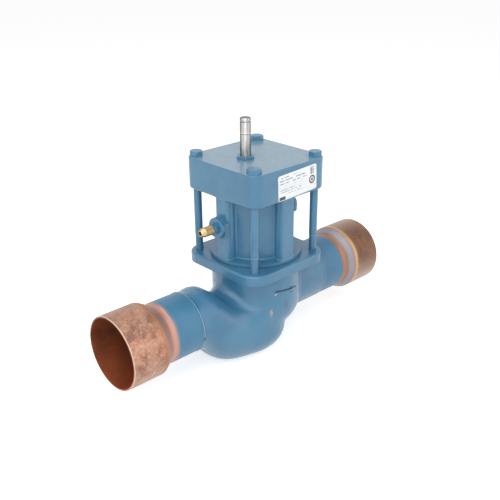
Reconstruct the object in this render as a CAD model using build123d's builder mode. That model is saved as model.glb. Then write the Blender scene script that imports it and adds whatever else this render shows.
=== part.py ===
import os
from build123d import *

os.makedirs("parts", exist_ok=True)

# Sizes in mm. The pipe axis is X, the valve axis is Z, and the origin is the centre of the inlet mouth.
# Line fittings: a swaged copper reducer is brazed over each end of the casting.
reducer_length = 97.0
cup_outer_r = 42.0
cup_wall = 2.2
cup_depth = 42.0
shoulder_x = 43.5
cone_length = 12.5
throat_outer_r = 34.6
throat_wall = 2.0
small_cup_outer_r = 35.4
small_cup_depth = 34.0
cup_step_start = 3.0
cup_step_length = 2.0
cone_outer_round = 5.5
cone_inner_round = 4.5
rim_round = 0.8
small_cup_chamfer = 0.25
braze_gap = 0.08

# Valve body casting
inlet_reach = 112.3
outlet_reach = 88.5
hub_r = 35.8
spigot_r = 33.34
spigot_length = 33.0
way_r = 29.0
neck_r = 53.2
neck_depth = 46.0
barrel_start = 20.0
barrel_round = 10.0
crease_round = 11.0
bowl_x = -18.5
bowl_r = 48.5
bowl_bottom = -64.0
bowl_corner = 29.5
bowl_top = 20.0
flange_side = 123.0
flange_corner = 23.0
flange_thickness = 11.8
flange_top = 55.8
flange_edge_round = 2.5
neck_top_round = 3.0
# Each shoulder station: distance from the valve axis, top, bottom, half width and corner radius.
horn_stations = [
    (-90.0, 34.2, -47.0, 39.0, 37.0),
    (-69.6, 20.5, -61.9, 42.0, 36.0),
    (-47.0, 9.0, -63.8, 45.5, 31.0),
    (-28.5, 18.0, bowl_bottom, bowl_r, bowl_corner),
]
# Each station of the inlet way: distance from the valve axis, height of its centre and radius.
way_stations = [
    (-90.0, -8.0, 30.5),
    (-70.0, -20.0, 31.0),
    (-48.0, -32.0, 25.5),
    (-25.0, -34.5, 22.5),
    (0.0, -35.0, 21.0),
]
well_r = 25.0
well_bottom = -57.0
well_corner = 22.0
partition_top = -1.5
tower_r = 31.8
chamber_r = 44.5
chamber_corner = 5.0
deep_r = 44.6
deep_depth = 38.4

# Tie bolts and the square pitch they stand on
bolt_inset = 13.875
tap_r = 4.6
bolt_thread_r = 4.42
bolt_shank_r = 4.66
bolt_thread_length = 30.0
bolt_end_z = 46.0
bolt_head_flats = 14.3
bolt_head_height = 5.8
bolt_hole_r = 5.15
bolt_turns = [8.0, 38.0, 21.0, 52.0]
hex_chamfer = 1.1
hex_chamfer_start = 0.3

# Seat, guide plate and gasket
seat_bore_r = 24.5
seat_lip_r = 27.2
seat_lip_z = 4.0
seat_flange_r = 31.0
seat_flange_height = 2.7
seat_press_r = 28.0
seat_press_depth = 6.5
seat_gap = 0.1
seat_lip_slope = 1.4
seat_bore_chamfer = 1.2
guide_plate_r = 46.3
guide_pocket_r = 46.5
guide_plate_thickness = 6.0
guide_boss_r = 13.5
guide_boss_bottom = 42.0
guide_boss_round = 2.0
bushing_outer_r = 8.9
bushing_chamfer = 0.6
seal_pocket_r = 10.0
seal_pocket_depth = 3.8
stem_seal_recess = 0.3
stem_seal_round = 0.8
vent_r = 2.0
vent_pitch_r = 38.0
gasket_thickness = 0.8
gasket_inner_r = 32.6

# Cylinder cover casting
foot_r = 54.5
foot_height = 3.6
barrel_r = 41.8
lobe_r = 11.0
lobe_centre = 46.3
lobe_reach = 53.5
lobe_edge_round = 1.0
lobe_root_round = 1.8
cap_bolt_margin = 10.125
cap_corner = 13.5
cap_bottom = 134.2
cap_top = 171.5
cap_top_round = 1.2
cap_bottom_round = 2.6
cap_neck_round = 3.5
foot_round = 2.0
cylinder_r = 32.5
cylinder_ceiling = 152.0
port_z = 100.0
port_face = 53.2
port_hole_r = 6.65
port_hole_depth = 12.7
spot_face_margin = 2.0
gas_r = 1.8
gas_x = -42.5
gas_cross_z = 158.5
gas_cross_r = 0.9

# Moving stem set, drawn at rest with the valve open
lift = 14.0
piston_r = 32.42
piston_top = 151.5
piston_length = 26.0
piston_crown = 8.0
piston_skirt_r = 28.0
ring_groove_r = 30.6
ring_z = 133.0
ring_height = 3.2
ring_clearance = 0.1
ring_gap = 0.8
piston_nut_recess_r = 9.0
piston_nut_recess = 5.0
piston_edge = 1.0
stem_r = 6.0
stem_end_r = 4.0
stem_gap = 0.05
stem_chamfer = 0.6
stem_overrun = 1.0
nut_flats = 13.0
nut_height = 4.5
disc_r = 30.0
disc_thickness = 10.0
disc_edge = 3.0
disc_seal_inner_r = 22.0
disc_seal_outer_r = 29.0
disc_seal_thickness = 4.1
disc_seal_proud = 0.6
retainer_r = 23.2
retainer_thickness = 2.7
retainer_chamfer = 1.0
spring_mean_r = 24.0
spring_wire_r = 2.25
spring_turns = 7
spring_sides = 12

# Solenoid operator
tube_x = -15.3
tube_pocket_r = 8.0
tube_seat_z = 159.5
gas_room_r = 6.8
gas_room_floor = 157.5
pilot_bore_r = 3.6
pilot_nib_r = 1.9
pilot_nib_z = 160.1
pilot_orifice_r = 1.2
tube_shoulder_r = 6.6
tube_outer_r = 6.1
tube_inner_r = 5.5
tube_flange_thickness = 1.8
tube_top = 200.0
oring_section_r = 0.6
tube_nut_flats = 19.0
tube_nut_height = 3.7
tube_nut_slot = 3.0
tube_nut_slot_depth = 2.0
core_end_z = 188.0
core_top_z = 218.0
core_groove_z = 213.2
core_groove_width = 1.4
core_groove_depth = 0.7
core_dome_round = 1.6
plunger_r = 5.42
plunger_bottom = 161.2
plunger_length = 23.8
plunger_seal_r = 2.2
plunger_seal_bottom = 160.2
plunger_seal_length = 2.8
plunger_spring_pocket_r = 2.9
plunger_spring_pocket = 6.0
plunger_spring_mean_r = 2.1
plunger_spring_wire_r = 0.35
plunger_spring_turns = 5
plunger_spring_sides = 6

# Side ports
port_hex_flats = 24.6
port_hex_thickness = 5.0
port_tail_r = 6.6
port_tail_length = 8.2
bushing_collar_r = 12.0
bushing_collar_length = 4.3
bushing_collar_round = 1.0
plug_chamfer = 1.2
plug_chamfer_drop = 2.4
fitting_tail_r = 5.0
fitting_hex_flats = 12.7
fitting_hex_length = 5.5
fitting_thread_r = 5.55
fitting_thread_length = 12.0
fitting_nose_length = 4.5
fitting_nose_r = 3.6
fitting_bore_r = 2.7
fitting_tail_length = 11.3
core_sleeve_r = 2.62
core_sleeve_bore_r = 1.25
core_sleeve_length = 13.0
core_sleeve_recess = 5.0
core_pin_r = 0.9
core_pin_recess = 2.0
core_pin_overrun = 3.5
core_pin_cup_r = 2.1
core_pin_cup_gap = 0.4
core_pin_cup_length = 1.8

# Derived sizes
cup_inner_r = cup_outer_r - cup_wall
throat_inner_r = throat_outer_r - throat_wall
bolt_pitch = flange_side - 2 * bolt_inset
cap_side = bolt_pitch + 2 * cap_bolt_margin
valve_x = reducer_length + inlet_reach
overall_length = valve_x + outlet_reach + reducer_length
gasket_top = flange_top + gasket_thickness
foot_top = gasket_top + foot_height
guide_plate_bottom = flange_top - guide_plate_thickness
disc_seal_bottom = seat_lip_z + seat_gap + lift
disc_bottom = disc_seal_bottom + disc_seal_proud
disc_top = disc_bottom + disc_thickness
piston_bottom = piston_top - piston_length
spring_top = piston_top - piston_crown
stem_bottom = disc_seal_bottom - retainer_thickness - nut_height - stem_overrun
tube_axis_x = valve_x + tube_x
tube_flange_top = tube_seat_z + tube_flange_thickness
oring_top = tube_flange_top + 2 * oring_section_r
bolt_corners = [(-1, -1), (1, -1), (1, 1), (-1, 1)]
hex_corner_ratio = 2 / 3**0.5
valve_axis = Axis((valve_x, 0, 0), (0, 0, 1))
tube_axis = Axis((tube_axis_x, 0, 0), (0, 0, 1))
port_axis = Axis((valve_x, 0, port_z), (1, 0, 0))
section = Plane(origin=(valve_x, 0, 0), x_dir=(1, 0, 0), z_dir=(0, -1, 0))
tube_section = Plane(origin=(tube_axis_x, 0, 0), x_dir=(1, 0, 0), z_dir=(0, -1, 0))
port_section = Plane(origin=(valve_x, 0, port_z), x_dir=(1, 0, 0), z_dir=(0, -1, 0))


def station(x, z=0.0):
    """Upright plane across the pipe at a distance from the valve axis."""
    return Plane(origin=(valve_x + x, 0, z), x_dir=(0, 1, 0), z_dir=(1, 0, 0))


def level(z, x=0.0):
    """Flat plane at a height, centred at a distance from the valve axis."""
    return Plane(origin=(valve_x + x, 0, z))


# Inlet reducer: mouth at x = 0, small cup over the body's spigot
with BuildPart() as inlet_reducer:
    with BuildSketch(Plane.XZ):
        with BuildLine():
            small_cup_x = reducer_length - small_cup_depth
            small_cup_inner_r = spigot_r + braze_gap
            cone_end = shoulder_x + cone_length
            inner_offset = shoulder_x - cup_depth
            step_x = small_cup_x - cup_step_start
            FilletPolyline(
                (0, cup_outer_r),
                (shoulder_x, cup_outer_r),
                (cone_end, throat_outer_r),
                (step_x, throat_outer_r),
                radius=cone_outer_round,
            )
            Polyline(
                (step_x, throat_outer_r),
                (step_x + cup_step_length, small_cup_outer_r),
                (reducer_length, small_cup_outer_r),
                (reducer_length, small_cup_inner_r),
                (small_cup_x, small_cup_inner_r),
                (small_cup_x, throat_inner_r),
                (step_x, throat_inner_r),
            )
            FilletPolyline(
                (step_x, throat_inner_r),
                (cone_end - inner_offset, throat_inner_r),
                (cup_depth, cup_inner_r),
                (0, cup_inner_r),
                radius=cone_inner_round,
            )
            Line((0, cup_inner_r), (0, cup_outer_r))
        make_face()
    revolve(axis=Axis.X)
    fillet(inlet_reducer.edges().group_by(Axis.X)[0].sort_by(SortBy.RADIUS)[-1], rim_round)
    chamfer(inlet_reducer.edges().group_by(Axis.X)[-1].sort_by(SortBy.RADIUS)[-1], small_cup_chamfer)
inlet_reducer.part.label = "inlet_reducer"
export_step(inlet_reducer.part, "parts/inlet_reducer.step")

# Outlet reducer: the same fitting turned round
with BuildPart() as outlet_reducer:
    add(mirror(inlet_reducer.part, about=Plane.YZ.offset(overall_length / 2)))
outlet_reducer.part.label = "outlet_reducer"
export_step(outlet_reducer.part, "parts/outlet_reducer.step")

# Inlet shoulder of the casting: a horn that falls from the hub to a rounded bowl under the seat
with BuildPart() as shoulder:
    with BuildSketch(station(-inlet_reach)):
        RectangleRounded(2 * hub_r, 2 * hub_r, hub_r - 0.1)
    for x, top, bottom, half_width, corner in horn_stations:
        with BuildSketch(station(x, (top + bottom) / 2)):
            RectangleRounded(2 * half_width, top - bottom, corner)
    with BuildSketch(station(bowl_x, (bowl_top + bowl_bottom) / 2)):
        RectangleRounded(2 * bowl_r, bowl_top - bowl_bottom, bowl_corner)
    loft()

with BuildPart() as bowl:
    with BuildSketch(station(bowl_x, (bowl_top + bowl_bottom) / 2)):
        RectangleRounded(2 * bowl_r, bowl_top - bowl_bottom, bowl_corner)
        with Locations((-2 * bowl_r, 0)):
            Rectangle(4 * bowl_r, 4 * bowl_r, mode=Mode.SUBTRACT)
    revolve(axis=Axis((valve_x + bowl_x, 0, 0), (0, 0, 1)), revolution_arc=-180)

with BuildPart() as lower_form:
    add(shoulder.part)
    add(bowl.part)

# Inlet way: falls under the partition and turns up through a round well below the seat
with BuildPart() as inlet_way:
    with BuildSketch(station(-inlet_reach)):
        Circle(way_r)
    for x, height, radius in way_stations:
        with BuildSketch(station(x, height)):
            Circle(radius)
    loft()
    with BuildSketch(section):
        with BuildLine():
            Polyline((0, partition_top), (well_r, partition_top), (well_r, well_bottom + well_corner))
            RadiusArc(
                (well_r, well_bottom + well_corner),
                (well_r - well_corner, well_bottom),
                well_corner,
            )
            Polyline((well_r - well_corner, well_bottom), (0, well_bottom), (0, partition_top))
        make_face()
    revolve(axis=valve_axis)
    with BuildSketch(station(-inlet_reach - spigot_length)):
        Circle(way_r)
    extrude(amount=spigot_length)

# Valve body: one casting with an S-shaped way through it
with BuildPart() as valve_body:
    with BuildSketch(section):
        with BuildLine():
            EllipticalCenterArc((0, 0), neck_r, neck_depth, start_angle=-90, arc_size=90)
            Polyline(
                (neck_r, 0),
                (neck_r, flange_top - 2),
                (0, flange_top - 2),
                (0, -neck_depth),
            )
        make_face()
    revolve(axis=valve_axis)
    with BuildSketch(station(barrel_start)):
        Circle(hub_r)
    extrude(amount=outlet_reach - barrel_start)
    fillet(valve_body.edges(Select.NEW), barrel_round)
    add(lower_form.part)
    fillet(valve_body.edges(Select.NEW), crease_round)
    with BuildSketch(level(flange_top - flange_thickness)):
        RectangleRounded(flange_side, flange_side, flange_corner)
    extrude(amount=flange_thickness)
    flange_under = flange_top - flange_thickness
    under_flange = (
        valve_body.edges()
        .filter_by(GeomType.CIRCLE)
        .filter_by_position(Axis.Z, flange_under - 0.1, flange_under + 0.1)
        .filter_by(lambda edge: abs(edge.radius - neck_r) < 0.5)
    )
    fillet(under_flange, neck_top_round)
    fillet(valve_body.faces().sort_by(Axis.Z)[-1].edges(), flange_edge_round)
    # Spigots under the reducers
    with BuildSketch(station(-inlet_reach - spigot_length), station(outlet_reach)):
        Circle(spigot_r)
    extrude(amount=spigot_length)
    # Ways and chambers
    add(inlet_way.part, mode=Mode.SUBTRACT)
    with BuildSketch(section):
        with BuildLine():
            corner_centre_r = chamber_r - chamber_corner
            Polyline((corner_centre_r, partition_top), (0, partition_top), (0, flange_top))
            Polyline(
                (0, flange_top),
                (guide_pocket_r, flange_top),
                (guide_pocket_r, guide_plate_bottom),
                (chamber_r, guide_plate_bottom),
                (chamber_r, partition_top + chamber_corner),
            )
            RadiusArc(
                (chamber_r, partition_top + chamber_corner),
                (corner_centre_r, partition_top),
                chamber_corner,
            )
        make_face()
    revolve(axis=valve_axis, mode=Mode.SUBTRACT)
    with BuildSketch(Plane(origin=(valve_x, 0, 0), x_dir=(0, -1, 0), z_dir=(-1, 0, 0))):
        with BuildLine():
            EllipticalCenterArc((0, 0), deep_r, deep_depth, start_angle=-90, arc_size=90)
            Polyline((deep_r, 0), (0, 0), (0, -deep_depth))
        make_face()
        with Locations((tower_r / 2, -deep_depth / 2)):
            Rectangle(tower_r, deep_depth + 1, mode=Mode.SUBTRACT)
    revolve(axis=valve_axis, revolution_arc=180, mode=Mode.SUBTRACT)
    with BuildSketch(station(tower_r)):
        Circle(way_r)
    extrude(amount=outlet_reach + spigot_length - tower_r, mode=Mode.SUBTRACT)
    # Seat bore and tapped holes
    with BuildSketch(level(partition_top - seat_press_depth)):
        Circle(seat_press_r)
    extrude(amount=seat_press_depth, mode=Mode.SUBTRACT)
    with BuildSketch(level(flange_top)):
        with GridLocations(bolt_pitch, bolt_pitch, 2, 2):
            Circle(tap_r)
    extrude(amount=-flange_thickness - 1, mode=Mode.SUBTRACT)
valve_body.part.label = "valve_body"
export_step(valve_body.part, "parts/valve_body.step")

# Seat ring: pressed into the partition, with a raised sealing lip
with BuildPart() as seat_ring:
    with BuildSketch(section):
        with BuildLine():
            seat_flange_top = partition_top + seat_flange_height
            Polyline(
                (seat_bore_r, partition_top - seat_press_depth),
                (seat_press_r - 0.05, partition_top - seat_press_depth),
                (seat_press_r - 0.05, partition_top),
                (seat_flange_r, partition_top),
                (seat_flange_r, seat_flange_top),
                (seat_lip_r + seat_lip_slope, seat_flange_top),
                (seat_lip_r, seat_lip_z),
                (seat_bore_r + seat_bore_chamfer, seat_lip_z),
                (seat_bore_r, seat_lip_z - seat_bore_chamfer),
                (seat_bore_r, partition_top - seat_press_depth),
            )
        make_face()
    revolve(axis=valve_axis)
seat_ring.part.label = "seat_ring"
export_step(seat_ring.part, "parts/seat_ring.step")

# Stem guide: the plate that parts the valve chamber from the cylinder
with BuildPart() as stem_guide:
    with BuildSketch(level(guide_plate_bottom)):
        Circle(guide_plate_r)
    extrude(amount=guide_plate_thickness)
    with BuildSketch(level(guide_boss_bottom)):
        Circle(guide_boss_r)
    extrude(amount=guide_plate_bottom - guide_boss_bottom)
    boss_root = stem_guide.edges().filter_by(GeomType.CIRCLE).filter_by(
        lambda edge: abs(edge.radius - guide_boss_r) < 0.1
    )
    fillet(boss_root.sort_by(Axis.Z)[-1], guide_boss_round)
    with BuildSketch(level(guide_boss_bottom)):
        Circle(bushing_outer_r + 0.05)
    extrude(amount=flange_top - guide_boss_bottom, mode=Mode.SUBTRACT)
    with BuildSketch(level(flange_top)):
        Circle(seal_pocket_r)
    extrude(amount=-seal_pocket_depth, mode=Mode.SUBTRACT)
    with BuildSketch(level(guide_plate_bottom)):
        with PolarLocations(vent_pitch_r, 2, start_angle=90):
            Circle(vent_r)
    extrude(amount=guide_plate_thickness, mode=Mode.SUBTRACT)
stem_guide.part.label = "stem_guide"
export_step(stem_guide.part, "parts/stem_guide.step")

with BuildPart() as guide_bushing:
    with BuildSketch(level(guide_boss_bottom)):
        Circle(bushing_outer_r)
        Circle(stem_r + stem_gap, mode=Mode.SUBTRACT)
    extrude(amount=flange_top - seal_pocket_depth - guide_boss_bottom)
    chamfer(guide_bushing.edges().group_by(Axis.Z)[0], bushing_chamfer)
guide_bushing.part.label = "guide_bushing"
export_step(guide_bushing.part, "parts/guide_bushing.step")

with BuildPart() as stem_seal:
    with BuildSketch(level(flange_top - seal_pocket_depth)):
        Circle(seal_pocket_r - 0.1)
        Circle(stem_r + stem_gap, mode=Mode.SUBTRACT)
    extrude(amount=seal_pocket_depth - stem_seal_recess)
    fillet(stem_seal.edges().group_by(Axis.Z)[-1], stem_seal_round)
stem_seal.part.label = "stem_seal"
export_step(stem_seal.part, "parts/stem_seal.step")

with BuildPart() as cover_gasket:
    with BuildSketch(level(flange_top)):
        Circle(foot_r)
        Circle(gasket_inner_r, mode=Mode.SUBTRACT)
    extrude(amount=gasket_thickness)
cover_gasket.part.label = "cover_gasket"
export_step(cover_gasket.part, "parts/cover_gasket.step")

# Cylinder cover: round foot, four-lobed cylinder and square cap in one casting
with BuildPart() as cylinder_cover:
    with BuildSketch(level(foot_top - 1)) as lobed:
        Circle(barrel_r)
        with PolarLocations(lobe_centre, 4):
            Circle(lobe_r)
        Rectangle(2 * lobe_reach, 2 * lobe_reach, mode=Mode.INTERSECT)
        lobe_corners = lobed.vertices().filter_by(lambda v: Vector(v.X, v.Y, 0).length > lobe_reach - 1)
        fillet(lobe_corners, lobe_edge_round)
        lobe_roots = lobed.vertices().filter_by(
            lambda v: abs(Vector(v.X, v.Y, 0).length - barrel_r) < 0.2
        )
        fillet(lobe_roots, lobe_root_round)
    extrude(amount=cap_bottom - foot_top + 2)
    with BuildSketch(level(gasket_top)):
        Circle(foot_r)
    extrude(amount=foot_height)
    with BuildSketch(level(cap_bottom)):
        RectangleRounded(cap_side, cap_side, cap_corner)
    extrude(amount=cap_top - cap_bottom)
    under_cap = cylinder_cover.edges().filter_by_position(Axis.Z, cap_bottom - 0.01, cap_bottom + 0.01)
    lobe_run = under_cap.filter_by(
        lambda edge: Vector(edge.center().X - valve_x, edge.center().Y, 0).length < lobe_reach + 1
    )
    fillet(lobe_run, cap_neck_round)
    on_foot = cylinder_cover.edges().filter_by_position(Axis.Z, foot_top - 0.01, foot_top + 0.01)
    fillet(on_foot.filter_by(lambda edge: edge.length < 2 * foot_r), foot_round)
    fillet(cylinder_cover.faces().sort_by(Axis.Z)[-1].edges(), cap_top_round)
    under_cap = cylinder_cover.edges().filter_by_position(Axis.Z, cap_bottom - 0.01, cap_bottom + 0.01)
    cap_rim = under_cap.filter_by(
        lambda edge: Vector(edge.center().X - valve_x, edge.center().Y, 0).length > cap_side / 2 - 1
    )
    fillet(cap_rim, cap_bottom_round)
    # Cylinder bore and bolt holes
    with BuildSketch(level(gasket_top)):
        Circle(cylinder_r)
    extrude(amount=cylinder_ceiling - gasket_top, mode=Mode.SUBTRACT)
    with BuildSketch(level(cap_bottom)):
        with GridLocations(bolt_pitch, bolt_pitch, 2, 2):
            Circle(bolt_hole_r)
    extrude(amount=cap_top - cap_bottom, mode=Mode.SUBTRACT)
    # Operator pocket, gas room and pilot bore
    with BuildSketch(tube_section):
        with BuildLine():
            Polyline(
                (0, cylinder_ceiling - 1),
                (pilot_bore_r, cylinder_ceiling - 1),
                (pilot_bore_r, gas_room_floor),
                (gas_room_r, gas_room_floor),
                (gas_room_r, tube_seat_z),
                (tube_pocket_r, tube_seat_z),
                (tube_pocket_r, cap_top + 1),
                (0, cap_top + 1),
                (0, cylinder_ceiling - 1),
            )
        make_face()
    revolve(axis=tube_axis, mode=Mode.SUBTRACT)
    # Side ports, spot faced, and the gas way from the access port to the gas room
    for side in (-1, 1):
        with BuildSketch(station(side * (port_face - port_hole_depth), port_z)):
            Circle(port_hole_r)
        extrude(amount=side * (port_hole_depth + 1), mode=Mode.SUBTRACT)
        with BuildSketch(station(side * port_face, port_z)):
            Circle(port_hex_flats / 2 + spot_face_margin)
        extrude(amount=side * spot_face_margin, mode=Mode.SUBTRACT)
    with BuildSketch(level(port_z, gas_x)):
        Circle(gas_r)
    extrude(amount=gas_cross_z + gas_cross_r - port_z, mode=Mode.SUBTRACT)
    with BuildSketch(station(gas_x, gas_cross_z)):
        Circle(gas_cross_r)
    extrude(amount=tube_x - gas_room_r + 1 - gas_x, mode=Mode.SUBTRACT)
cylinder_cover.part.label = "cylinder_cover"
export_step(cylinder_cover.part, "parts/cylinder_cover.step")

# Tie bolts: four long hexagon bolts through the cap into the flange
with BuildPart() as tie_bolts:
    head_chamfer_r = bolt_head_flats / 2 - hex_chamfer_start
    head_corner_r = bolt_head_flats / 2 * hex_corner_ratio + hex_chamfer_start
    for (side_x, side_y), turn in zip(bolt_corners, bolt_turns):
        bolt_x = valve_x + side_x * bolt_pitch / 2
        bolt_y = side_y * bolt_pitch / 2
        with BuildSketch(Plane(origin=(bolt_x, bolt_y, cap_top))):
            RegularPolygon(bolt_head_flats / 2, 6, major_radius=False, rotation=turn)
        extrude(amount=bolt_head_height)
        with BuildSketch(Plane(origin=(bolt_x, bolt_y, cap_top), x_dir=(1, 0, 0), z_dir=(0, -1, 0))):
            with BuildLine():
                Polyline(
                    (head_chamfer_r, bolt_head_height),
                    (head_corner_r, bolt_head_height),
                    (head_corner_r, bolt_head_height - hex_chamfer),
                    (head_chamfer_r, bolt_head_height),
                )
            make_face()
        revolve(axis=Axis((bolt_x, bolt_y, 0), (0, 0, 1)), mode=Mode.SUBTRACT)
        with BuildSketch(Plane(origin=(bolt_x, bolt_y, bolt_end_z))):
            Circle(bolt_thread_r)
        extrude(amount=bolt_thread_length)
        with BuildSketch(Plane(origin=(bolt_x, bolt_y, bolt_end_z + bolt_thread_length))):
            Circle(bolt_shank_r)
        extrude(amount=cap_top - bolt_end_z - bolt_thread_length)
tie_bolts.part.label = "tie_bolts"
export_step(tie_bolts.part, "parts/tie_bolts.step")

# Power piston: skirted, with a ring groove, a nut recess and a hole for the stem end
with BuildPart() as power_piston:
    with BuildSketch(section):
        with BuildLine():
            recess_floor = piston_top - piston_nut_recess
            Polyline(
                (stem_end_r + stem_gap, spring_top),
                (piston_skirt_r, spring_top),
                (piston_skirt_r, piston_bottom),
                (piston_r, piston_bottom),
                (piston_r, ring_z),
                (ring_groove_r, ring_z),
                (ring_groove_r, ring_z + ring_height),
                (piston_r, ring_z + ring_height),
                (piston_r, piston_top - piston_edge),
                (piston_r - piston_edge, piston_top),
                (piston_nut_recess_r, piston_top),
                (piston_nut_recess_r, recess_floor),
                (stem_end_r + stem_gap, recess_floor),
                (stem_end_r + stem_gap, spring_top),
            )
        make_face()
    revolve(axis=valve_axis)
power_piston.part.label = "power_piston"
export_step(power_piston.part, "parts/power_piston.step")

with BuildPart() as piston_ring:
    with BuildSketch(level(ring_z + ring_clearance)):
        Circle(piston_r)
        Circle(ring_groove_r + ring_clearance, mode=Mode.SUBTRACT)
        with Locations((0, piston_r)):
            Rectangle(ring_gap, 3 * ring_height, mode=Mode.SUBTRACT)
    extrude(amount=ring_height - 2 * ring_clearance)
piston_ring.part.label = "piston_ring"
export_step(piston_ring.part, "parts/piston_ring.step")

with BuildPart() as piston_nut:
    with BuildSketch(level(piston_top - piston_nut_recess)):
        RegularPolygon(nut_flats / 2, 6, major_radius=False)
        Circle(stem_end_r + stem_gap, mode=Mode.SUBTRACT)
    extrude(amount=nut_height)
piston_nut.part.label = "piston_nut"
export_step(piston_nut.part, "parts/piston_nut.step")

# Stem: shouldered at both ends between the main disc and the piston
with BuildPart() as stem:
    with BuildSketch(level(disc_top)):
        Circle(stem_r)
    extrude(amount=spring_top - disc_top)
    with BuildSketch(level(stem_bottom)):
        Circle(stem_end_r)
    extrude(amount=disc_top - stem_bottom)
    with BuildSketch(level(spring_top)):
        Circle(stem_end_r)
    extrude(amount=piston_crown - piston_nut_recess + nut_height + 0.2)
    chamfer(stem.edges().group_by(Axis.Z)[0], stem_chamfer)
stem.part.label = "stem"
export_step(stem.part, "parts/stem.step")

# Opening spring: rests on the guide plate and lifts the piston
with BuildPart() as opening_spring:
    spring_length = spring_top - flange_top
    spring_pitch = (spring_length - 2 * spring_wire_r) / spring_turns
    with BuildLine():
        Helix(
            spring_pitch,
            spring_pitch * spring_turns,
            spring_mean_r,
            center=(valve_x, 0, flange_top + spring_wire_r),
        )
    with BuildSketch(
        Plane(
            origin=(valve_x + spring_mean_r, 0, flange_top + spring_wire_r),
            x_dir=(1, 0, 0),
            z_dir=(0, -1, 0),
        )
    ):
        RegularPolygon(spring_wire_r, spring_sides)
    sweep(is_frenet=True)
    for end_z, side in ((flange_top, -1), (spring_top, 1)):
        with BuildSketch(level(end_z)):
            Circle(spring_mean_r + 2 * spring_wire_r)
        extrude(amount=side * 2 * spring_wire_r, mode=Mode.SUBTRACT)
opening_spring.part.label = "opening_spring"
export_step(opening_spring.part, "parts/opening_spring.step")

# Main disc with its soft seal, the retainer under it and the nut on the stem end
with BuildPart() as main_disc:
    with BuildSketch(section):
        with BuildLine():
            groove_top = disc_seal_bottom + disc_seal_thickness
            Polyline(
                (stem_end_r + stem_gap, disc_seal_bottom),
                (disc_seal_inner_r - 0.05, disc_seal_bottom),
                (disc_seal_inner_r - 0.05, groove_top),
                (disc_seal_outer_r + 0.05, groove_top),
                (disc_seal_outer_r + 0.05, disc_bottom),
                (disc_r, disc_bottom),
                (disc_r, disc_top - disc_edge),
                (disc_r - disc_edge, disc_top),
                (stem_end_r + stem_gap, disc_top),
                (stem_end_r + stem_gap, disc_seal_bottom),
            )
        make_face()
    revolve(axis=valve_axis)
main_disc.part.label = "main_disc"
export_step(main_disc.part, "parts/main_disc.step")

with BuildPart() as disc_seal:
    with BuildSketch(level(disc_seal_bottom)):
        Circle(disc_seal_outer_r)
        Circle(disc_seal_inner_r, mode=Mode.SUBTRACT)
    extrude(amount=disc_seal_thickness)
disc_seal.part.label = "disc_seal"
export_step(disc_seal.part, "parts/disc_seal.step")

with BuildPart() as disc_retainer:
    with BuildSketch(level(disc_seal_bottom)):
        Circle(retainer_r)
        Circle(stem_end_r + stem_gap, mode=Mode.SUBTRACT)
    extrude(amount=-retainer_thickness)
    chamfer(disc_retainer.edges().group_by(Axis.Z)[0].sort_by(SortBy.RADIUS)[-1], retainer_chamfer)
disc_retainer.part.label = "disc_retainer"
export_step(disc_retainer.part, "parts/disc_retainer.step")

with BuildPart() as disc_nut:
    with BuildSketch(level(disc_seal_bottom - retainer_thickness)):
        RegularPolygon(nut_flats / 2, 6, major_radius=False)
        Circle(stem_end_r + stem_gap, mode=Mode.SUBTRACT)
    extrude(amount=-nut_height)
disc_nut.part.label = "disc_nut"
export_step(disc_nut.part, "parts/disc_nut.step")

# Pilot seat: pressed into the cylinder ceiling, its nib stands in the gas room
with BuildPart() as pilot_seat:
    with BuildSketch(tube_section):
        with BuildLine():
            Polyline(
                (pilot_orifice_r, cylinder_ceiling),
                (pilot_bore_r - 0.05, cylinder_ceiling),
                (pilot_bore_r - 0.05, gas_room_floor),
                (pilot_nib_r, pilot_nib_z),
                (pilot_orifice_r, pilot_nib_z),
                (pilot_orifice_r, cylinder_ceiling),
            )
        make_face()
    revolve(axis=tube_axis)
pilot_seat.part.label = "pilot_seat"
export_step(pilot_seat.part, "parts/pilot_seat.step")

# Solenoid tube with its foot flange, the seal ring above it and the nut that holds it down
with BuildPart() as solenoid_tube:
    with BuildSketch(tube_section):
        with BuildLine():
            Polyline(
                (tube_inner_r, tube_seat_z),
                (tube_pocket_r - 0.1, tube_seat_z),
                (tube_pocket_r - 0.1, tube_flange_top),
                (tube_shoulder_r, tube_flange_top),
                (tube_shoulder_r, cap_top + tube_nut_height),
                (tube_outer_r, cap_top + tube_nut_height),
                (tube_outer_r, tube_top),
                (tube_inner_r, tube_top),
                (tube_inner_r, tube_seat_z),
            )
        make_face()
    revolve(axis=tube_axis)
solenoid_tube.part.label = "solenoid_tube"
export_step(solenoid_tube.part, "parts/solenoid_tube.step")

with BuildPart() as tube_oring:
    with BuildSketch(tube_section):
        with Locations(((tube_shoulder_r + tube_pocket_r) / 2, tube_flange_top + oring_section_r)):
            Circle(oring_section_r)
    revolve(axis=tube_axis)
tube_oring.part.label = "tube_oring"
export_step(tube_oring.part, "parts/tube_oring.step")

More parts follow.
